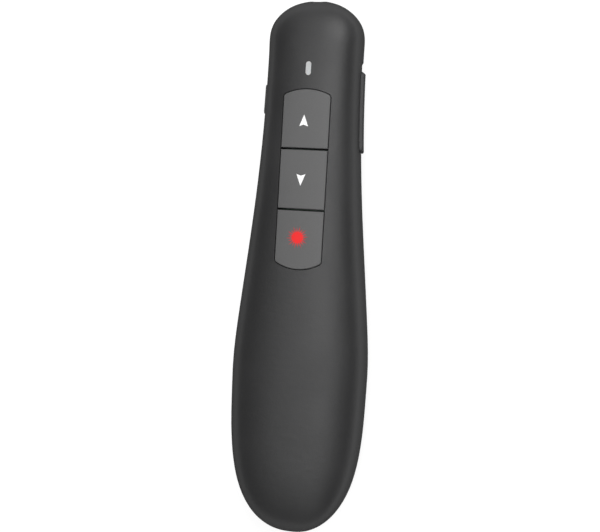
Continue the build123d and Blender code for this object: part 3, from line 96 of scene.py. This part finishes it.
# ---- Materials -----------------------------------------------------------------------------------
def first_node(tree, kind):
    """The tree's own node of a kind."""
    return next(n for n in tree.nodes if n.type == kind)


def maths(tree, operation, *values):
    """Output of a Math node; each value is an output or a number."""
    made = tree.nodes.new("ShaderNodeMath")
    made.operation = operation
    for number, value in enumerate(values):
        if isinstance(value, float):
            made.inputs[number].default_value = value
        else:
            tree.links.new(value, made.inputs[number])
    return made.outputs[0]


def maps(tree, value, low, high, to_low, to_high):
    """Output of a Map Range node: the value rescaled from one range to another and clamped."""
    ranged = tree.nodes.new("ShaderNodeMapRange")
    ranged.inputs["From Min"].default_value = low
    ranged.inputs["From Max"].default_value = high
    ranged.inputs["To Min"].default_value = to_low
    ranged.inputs["To Max"].default_value = to_high
    tree.links.new(value, ranged.inputs["Value"])
    return ranged.outputs["Result"]


EDGE_COSINES = (0.92, 0.999)  # between the bevelled and true normals: on an edge, on a face


class Shader:
    """Node tree of one material, with short calls for the nodes used here."""

    def __init__(self, name, colour, roughness, **sockets):
        self.material = bpy.data.materials.new(name)
        self.material.use_nodes = True
        self.tree = self.material.node_tree
        self.bsdf = first_node(self.tree, "BSDF_PRINCIPLED")
        self.bsdf.inputs["Base Color"].default_value = (*colour, 1)
        self.bsdf.inputs["Roughness"].default_value = roughness
        for socket, value in sockets.items():
            self.bsdf.inputs[socket.replace("_", " ")].default_value = value
        self.place = self.node("ShaderNodeTexCoord").outputs["Object"]

    def node(self, kind, **values):
        made = self.tree.nodes.new(kind)
        for name, value in values.items():
            if hasattr(made, name):
                setattr(made, name, value)
            else:
                made.inputs[name.replace("_", " ")].default_value = value
        return made

    def link(self, output, target):
        self.tree.links.new(output, target)

    def noise(self, size, detail=2.0, rough=0.5, scale=None):
        """Noise whose features are about size metres across, drawn out where the scale is small."""
        texture = self.node("ShaderNodeTexNoise", Scale=1.0 / size, Detail=detail, Roughness=rough)
        place = self.place
        if scale:
            mapping = self.node("ShaderNodeMapping")
            mapping.inputs["Scale"].default_value = scale
            self.link(place, mapping.inputs["Vector"])
            place = mapping.outputs["Vector"]
        self.link(place, texture.inputs["Vector"])
        return texture.outputs["Fac"]

    def map(self, value, low, high, to_low, to_high):
        """Value rescaled from one range to another and clamped."""
        return maps(self.tree, value, low, high, to_low, to_high)

    def mix(self, factor, first, second):
        """Colour mixed between two colours, each an output or an rgb triple."""
        mixed = self.node("ShaderNodeMix", data_type="RGBA")
        self.link(factor, mixed.inputs["Factor"])
        for socket, value in (("A", first), ("B", second)):
            target = next(i for i in mixed.inputs if i.name == socket and i.type == "RGBA")
            if isinstance(value, tuple):
                target.default_value = (*value, 1)
            else:
                self.link(value, target)
        return next(o for o in mixed.outputs if o.type == "RGBA")

    def edges(self, radius):
        """1 on edges, 0 on plain faces, from the angle between bevelled and true normal."""
        bevel = self.node("ShaderNodeBevel", samples=6)
        bevel.inputs["Radius"].default_value = radius
        geometry = self.node("ShaderNodeNewGeometry")
        product = self.node("ShaderNodeVectorMath", operation="DOT_PRODUCT")
        self.link(bevel.outputs["Normal"], product.inputs[0])
        self.link(geometry.outputs["Normal"], product.inputs[1])
        return self.map(product.outputs["Value"], *EDGE_COSINES, 1.0, 0.0)

    def bump(self, height, distance, below=None):
        """Normal of a bump layer of a height in metres, over another layer if there is one."""
        made = self.node("ShaderNodeBump", Distance=distance, Strength=1.0)
        self.link(height, made.inputs["Height"])
        if below is not None:
            self.link(below, made.inputs["Normal"])
        return made.outputs["Normal"]

    def colour(self, output):
        self.link(output, self.bsdf.inputs["Base Color"])

    def roughness(self, output):
        self.link(output, self.bsdf.inputs["Roughness"])

    def normal(self, output):
        self.link(output, self.bsdf.inputs["Normal"])


BLOTCH = 0.018  # size of the soft patches on moulded faces
BLOTCH_GLOSS = 0.06  # how far their roughness goes up and down
WORN_EDGE = 0.00018  # reach of the rubbed, lighter edges


def shade(colour, factor):
    """Colour made lighter or darker."""
    return tuple(min(c * factor, 1.0) for c in colour)


def moulded(
    name, colour, roughness, grain=0.00022, depth=0.000012, wear=1.35, dull=None, **sockets
):
    """Moulded plastic: fine spark-eroded grain, soft blotches of roughness, rubbed edges.

    A dull finish grows rougher at grazing angles, up to the roughness given by dull.
    """
    s = Shader(name, colour, roughness, **sockets)
    blotch = s.noise(BLOTCH, detail=3.0)
    fine = s.noise(grain, detail=2.0, rough=0.6)
    toned = s.mix(s.map(blotch, 0.35, 0.65, 0.0, 1.0), shade(colour, 0.92), shade(colour, 1.08))
    speck = s.mix(s.map(fine, 0.3, 0.75, 0.0, 0.6), toned, shade(colour, 1.3))
    s.colour(s.mix(s.edges(WORN_EDGE), speck, shade(colour, wear)))
    gloss = s.map(blotch, 0.3, 0.7, roughness - BLOTCH_GLOSS, roughness + BLOTCH_GLOSS)
    if dull:
        facing = s.node("ShaderNodeLayerWeight", Blend=0.5).outputs["Facing"]
        gloss = maths(s.tree, "MAXIMUM", gloss, s.map(facing, 0.35, 0.8, roughness, dull))
    s.roughness(gloss)
    ripple = s.noise(grain * 5, detail=1.0)
    s.normal(s.bump(fine, depth, below=s.bump(ripple, depth * 0.7)))
    return s.material


def metal(name, colour, roughness, along):
    """Plated or brushed metal: fine streaks along one axis and faint tarnish."""
    s = Shader(name, colour, roughness, Metallic=1.0)
    scale = tuple(0.04 if axis == along else 1.0 for axis in range(3))
    streaks = s.noise(0.00012, detail=3.0, scale=scale)
    tarnish = s.noise(0.004, detail=4.0)
    s.colour(s.mix(s.map(tarnish, 0.4, 0.75, 0.0, 0.6), colour, shade(colour, 0.78)))
    s.roughness(s.map(streaks, 0.3, 0.7, roughness - 0.08, roughness + 0.1))
    s.normal(s.bump(streaks, 0.000004))
    return s.material


def glassy(name, colour, roughness, transmission, **sockets):
    """Clear or tinted moulding with faint dust and a little waviness."""
    s = Shader(name, colour, roughness, Transmission_Weight=transmission, IOR=1.5, **sockets)
    dust = s.noise(0.0004, detail=4.0)
    s.roughness(s.map(dust, 0.5, 0.85, roughness, roughness + 0.1))
    s.normal(s.bump(s.noise(0.0015), 0.0000015))
    return s.material


CASING = (0.019, 0.019, 0.0195)  # near-black soft-touch coat
KEY_GREY = (0.0825, 0.0825, 0.083)
MASK_GREEN = (0.004, 0.026, 0.012)
TRACK_GREEN = (0.01, 0.055, 0.026)
CELL_BODY = (0.02, 0.03, 0.07)
CELL_BAND = (0.42, 0.36, 0.24)
CELL_SPLIT = (-0.0102, -0.0100)  # between the film's two tones, along the body


def solder_mask(name):
    """Green board: tinted mask over tracks that show as slightly raised lines."""
    s = Shader(name, MASK_GREEN, 0.32)
    bricks = s.node("ShaderNodeTexBrick", Scale=420.0, Mortar_Size=0.09)
    for socket, colour in (
        ("Color1", MASK_GREEN),
        ("Color2", shade(MASK_GREEN, 1.25)),
        ("Mortar", TRACK_GREEN),
    ):
        bricks.inputs[socket].default_value = (*colour, 1)
    s.link(s.place, bricks.inputs["Vector"])
    s.colour(bricks.outputs["Color"])
    s.normal(s.bump(bricks.outputs["Fac"], 0.00002, below=s.bump(s.noise(0.0012), 0.000006)))
    return s.material


def cell_film(name):
    """Plain shrink film of a dry cell: two tones split along its length, fine wrinkles."""
    s = Shader(name, CELL_BODY, 0.28, Coat_Weight=0.4)
    parts = s.node("ShaderNodeSeparateXYZ")
    s.link(s.place, parts.inputs["Vector"])
    split = s.map(parts.outputs["Y"], *CELL_SPLIT, 0.0, 1.0)
    s.colour(s.mix(split, CELL_BODY, CELL_BAND))
    s.normal(s.bump(s.noise(0.0011, detail=3.0, scale=(1.0, 0.15, 1.0)), 0.00002))
    return s.material


def make_materials():
    """One material for each of the record's slots."""
    return {
        "casing_plastic": moulded(
            "soft_touch",
            CASING,
            0.47,
            grain=0.00028,
            depth=0.00002,
            wear=1.25,
            dull=1.0,
            Specular_IOR_Level=0.45,
        ),
        "key_rubber": moulded(
            "key_rubber", KEY_GREY, 0.62, grain=0.0002, depth=0.000008, wear=1.15
        ),
        "control_plastic": moulded(
            "control_plastic", (0.016, 0.016, 0.017), 0.5, grain=0.0002, wear=1.3, dull=1.0
        ),
        "light_pipe": moulded(
            "light_pipe", (0.49, 0.47, 0.46), 0.35, depth=0.000004, Subsurface_Weight=0.2
        ),
        "laser_window": glassy(
            "laser_window", (0.2, 0.003, 0.004), 0.04, 0.3, Specular_IOR_Level=0.2
        ),
        "lens_glass": glassy("lens_glass", (0.95, 0.95, 0.97), 0.02, 0.95),
        "barrel_brass": metal("barrel_brass", (0.62, 0.45, 0.2), 0.3, along=0),
        "circuit_laminate": solder_mask("circuit_laminate"),
        "component_black": moulded("component_black", (0.018, 0.018, 0.018), 0.5, grain=0.00012),
        "component_white": moulded("component_white", (0.62, 0.6, 0.53), 0.45, grain=0.00012),
        "bright_metal": metal("bright_metal", (0.62, 0.62, 0.64), 0.28, along=1),
        "screw_steel": metal("screw_steel", (0.3, 0.3, 0.32), 0.36, along=2),
        "cell_jacket": cell_film("cell_jacket"),
        "wire_red": moulded("wire_red", (0.4, 0.02, 0.02), 0.35, grain=0.0003, depth=0.000004),
    }


def finish_nodes(materials):
    """Gives every CAD node the material of its slot."""
    for row in frame["record"]["subparts"]:
        node = frame["nodes"][row["node"]]
        material = materials[row["material_slot"]]
        if not node.data.materials:
            node.data.materials.append(material)
        for number in range(len(node.material_slots)):
            node.material_slots[number].material = material


# ---- Printed signs on the keys -------------------------------------------------------------------
INK = 0.00003  # how far the print stands above the key, and reaches into it
SIGN_STEP = 0.00022  # longest edge of the print's mesh
CLEAR_ABOVE = 0.01  # from the object's top to where the search for a key's surface starts
SIGN_SHIFT = -0.36 * MM  # all signs sit a little left of their keys' middles
UP_STEP, DOWN_STEP, BURST_STEP = -0.92 * MM, -0.12 * MM, 1.08 * MM  # and off them along the body
ARROW_HALF, ARROW_LENGTH, ARROW_NOTCH = 1.12 * MM, 2.86 * MM, 0.42 * MM
BURST_RAYS = 20
BURST_DISC, BURST_SHORT, BURST_LONG = 1.4 * MM, 2.5 * MM, 2.9 * MM
BURST_RED = (0.8, 0.018, 0.018)
BURST_DARK = (0.5, 0.02, 0.02)


def key_surface(node):
    """Finder of the height of a CAD node's top surface over a plan point."""
    mesh = frame["nodes"][node].data
    tree = BVHTree.FromPolygons([v.co for v in mesh.vertices], [p.vertices for p in mesh.polygons])

    def height(x, y):
        start = Vector((x, y, cad_high.z + CLEAR_ABOVE))
        return tree.ray_cast(start, Vector((0, 0, -1)))[0].z

    return height


def sign(name, points, faces, key, body, material, slot):
    """Thin print that follows the key's crown, from plan points and the faces between them."""
    mesh = bmesh.new()
    corners = [mesh.verts.new((x, y, 0)) for x, y in points]
    for face in faces:
        mesh.faces.new([corners[number] for number in face])
    while True:
        long = [e for e in mesh.edges if e.calc_length() > SIGN_STEP]
        if not long:
            break
        bmesh.ops.subdivide_edges(mesh, edges=long, cuts=1)
        bmesh.ops.triangulate(mesh, faces=mesh.faces)
    height = key_surface(key)
    for vert in mesh.verts:
        vert.co.z = height(vert.co.x, vert.co.y) - INK
    top = bmesh.ops.extrude_face_region(mesh, geom=list(mesh.faces))
    for part in top["geom"]:
        if isinstance(part, bmesh.types.BMVert):
            part.co.z += 2 * INK
    bmesh.ops.recalc_face_normals(mesh, faces=mesh.faces)
    data = bpy.data.meshes.new(name)
    mesh.to_mesh(data)
    mesh.free()
    data.materials.append(material)
    piece = add_object(name, data)
    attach(piece, body)


def arrow(y, way):
    """Navigation arrow with a hollow base; way is 1 for up and -1 for down."""
    x, base = SIGN_SHIFT, y - way * ARROW_LENGTH / 2
    points = [
        (x, y + way * ARROW_LENGTH / 2),
        (x - ARROW_HALF, base),
        (x, base + way * ARROW_NOTCH),
        (x + ARROW_HALF, base),
    ]
    return points, [(0, 1, 2), (0, 2, 3)]


def burst(y):
    """Disc with thin rays all round, long and short by turns."""
    steps = 3 * BURST_RAYS  # foot, tip and foot of each ray
    points = [(SIGN_SHIFT, y)]
    for step in range(steps):
        angle = 2 * math.pi * step / steps
        reach = (BURST_LONG if step % 2 else BURST_SHORT) if step % 3 == 1 else BURST_DISC
        points.append((SIGN_SHIFT + reach * math.cos(angle), y + reach * math.sin(angle)))
    faces = []
    for first in range(1, steps, 3):
        faces.append((first, first + 1, first + 2))
        faces.append((0, first, first + 2))
        faces.append((0, first + 2, 1 + (first + 2) % steps))
    return points, faces


def burst_ink(y):
    """Red print, bright on the disc and darker out along the rays."""
    s = Shader("print_red", BURST_RED, 0.55, Specular_IOR_Level=0.25)
    away = s.node("ShaderNodeVectorMath", operation="DISTANCE")
    s.link(s.place, away.inputs[0])
    away.inputs[1].default_value = (SIGN_SHIFT, y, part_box("laser_key")[1].z)
    reach = s.map(away.outputs["Value"], BURST_DISC * 0.8, BURST_SHORT, 0.0, 1.0)
    fine = s.noise(0.0002)
    toned = s.mix(reach, BURST_RED, BURST_DARK)
    s.colour(s.mix(s.map(fine, 0.3, 0.8, 0.0, 0.25), toned, BURST_DARK))
    s.roughness(s.map(fine, 0.3, 0.7, 0.48, 0.62))
    s.normal(s.bump(fine, 0.000004))
    return s.material


def make_signs():
    """White arrows on the page keys and a red burst on the laser key."""
    white = moulded("print_white", (0.85, 0.85, 0.85), 0.5, depth=0.000004)
    for name, way, step in (("page_up", 1, UP_STEP), ("page_down", -1, DOWN_STEP)):
        key = f"{name}_key"
        low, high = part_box(key)
        place = (low.y + high.y) / 2 + step
        sign(f"{name}_sign", *arrow(place, way), key, key, white, "light_pipe")
    low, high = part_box("laser_key")
    place = (low.y + high.y) / 2 + BURST_STEP
    sign("laser_sign", *burst(place), "laser_key", "laser_key", burst_ink(place), "wire_red")


# ---- Studio --------------------------------------------------------------------------------------
FLOOR_HALF = 3.0
FLOOR_LEVEL = -0.05 * MM  # just clear of the underside
FLOOR_GREY = 0.25
FLOOR_GLOW = (0.82, 0.98)  # near the object, where its shadow shows, and far away
FLOOR_NEAR, FLOOR_FAR = 0.3, 1.4
WORLD_LIGHT = 0.05
HORIZON = (0.03, 0.18)  # slope of a mirrored ray that still meets full white, and none
LAMPS = (  # name, place, size, power
    ("top_lamp", (0.0, -0.05, 0.85), (0.3, 0.5), 3.0),
    ("key_lamp", (0.25, 0.38, 0.72), (0.5, 0.4), 4.1),
    ("tip_lamp", (0.12, 0.68, 0.52), (0.5, 0.3), 2.2),
    ("tail_lamp", (0.05, -0.55, 0.6), (0.4, 0.3), 0.65),
)


def camera_white(tree, plain, strength, mirrored=1.0):
    """Adds white seen by the camera to a plain closure, and in mirrors and glass by a share."""
    path = tree.nodes.new("ShaderNodeLightPath").outputs
    mirror = maths(tree, "MAXIMUM", path["Is Glossy Ray"], path["Is Transmission Ray"])
    seen = maths(tree, "MAXIMUM", path["Is Camera Ray"], maths(tree, "MULTIPLY", mirror, mirrored))
    glow = tree.nodes.new("ShaderNodeEmission")
    glow.inputs["Color"].default_value = (1, 1, 1, 1)
    tree.links.new(maths(tree, "MULTIPLY", seen, strength), glow.inputs["Strength"])
    both = tree.nodes.new("ShaderNodeAddShader")
    tree.links.new(plain, both.inputs[0])
    tree.links.new(glow.outputs[0], both.inputs[1])
    return both.outputs[0]


def make_floor():
    """Pale floor that keeps the shadow, whitens into the distance and is clear from below."""
    data = bpy.data.meshes.new("floor")
    quarters = ((-1, -1), (1, -1), (1, 1), (-1, 1))
    corners = [(FLOOR_HALF * x, FLOOR_HALF * y, FLOOR_LEVEL) for x, y in quarters]
    data.from_pydata(corners, [], [(0, 1, 2, 3)])
    floor = add_object("floor", data)
    material = bpy.data.materials.new("floor_white")
    material.use_nodes = True
    tree = material.node_tree
    bsdf = first_node(tree, "BSDF_PRINCIPLED")
    bsdf.inputs["Base Color"].default_value = (FLOOR_GREY, FLOOR_GREY, FLOOR_GREY, 1)
    bsdf.inputs["Roughness"].default_value = 0.9
    away = tree.nodes.new("ShaderNodeVectorMath")
    away.operation = "LENGTH"
    tree.links.new(tree.nodes.new("ShaderNodeTexCoord").outputs["Object"], away.inputs[0])
    glow = maps(tree, away.outputs["Value"], FLOOR_NEAR, FLOOR_FAR, *FLOOR_GLOW)
    sides = tree.nodes.new("ShaderNodeMixShader")
    tree.links.new(tree.nodes.new("ShaderNodeNewGeometry").outputs["Backfacing"], sides.inputs[0])
    tree.links.new(camera_white(tree, bsdf.outputs[0], glow), sides.inputs[1])
    tree.links.new(tree.nodes.new("ShaderNodeBsdfTransparent").outputs[0], sides.inputs[2])
    tree.links.new(sides.outputs[0], first_node(tree, "OUTPUT_MATERIAL").inputs["Surface"])
    data.materials.append(material)


def make_world():
    """Faint even light, white to the camera, and white in mirrors only near the horizon."""
    world = bpy.data.worlds.new("world")
    world.use_nodes = True
    tree = world.node_tree
    background = first_node(tree, "BACKGROUND")
    background.inputs["Color"].default_value = (1, 1, 1, 1)
    background.inputs["Strength"].default_value = WORLD_LIGHT
    way = tree.nodes.new("ShaderNodeSeparateXYZ")
    tree.links.new(tree.nodes.new("ShaderNodeTexCoord").outputs["Generated"], way.inputs[0])
    band = maps(tree, maths(tree, "ABSOLUTE", way.outputs["Z"]), *HORIZON, 1.0, 0.0)
    white = camera_white(tree, background.outputs[0], 1 - WORLD_LIGHT, band)
    tree.links.new(white, first_node(tree, "OUTPUT_WORLD").inputs["Surface"])
    bpy.context.scene.world = world


def make_lamps():
    """Soft rectangular lamps aimed at the object."""
    for name, place, size, power in LAMPS:
        data = bpy.data.lights.new(name, "AREA")
        data.shape = "RECTANGLE"
        data.size, data.size_y = size
        data.energy = power
        lamp = add_object(name, data)
        lamp.location = place
        lamp.rotation_euler = (-Vector(place)).to_track_quat("-Z", "Y").to_euler()


make_camera()
finish_nodes(make_materials())
make_signs()
bpy.context.scene.view_settings.view_transform = "Standard"
make_floor()
make_world()
make_lamps()
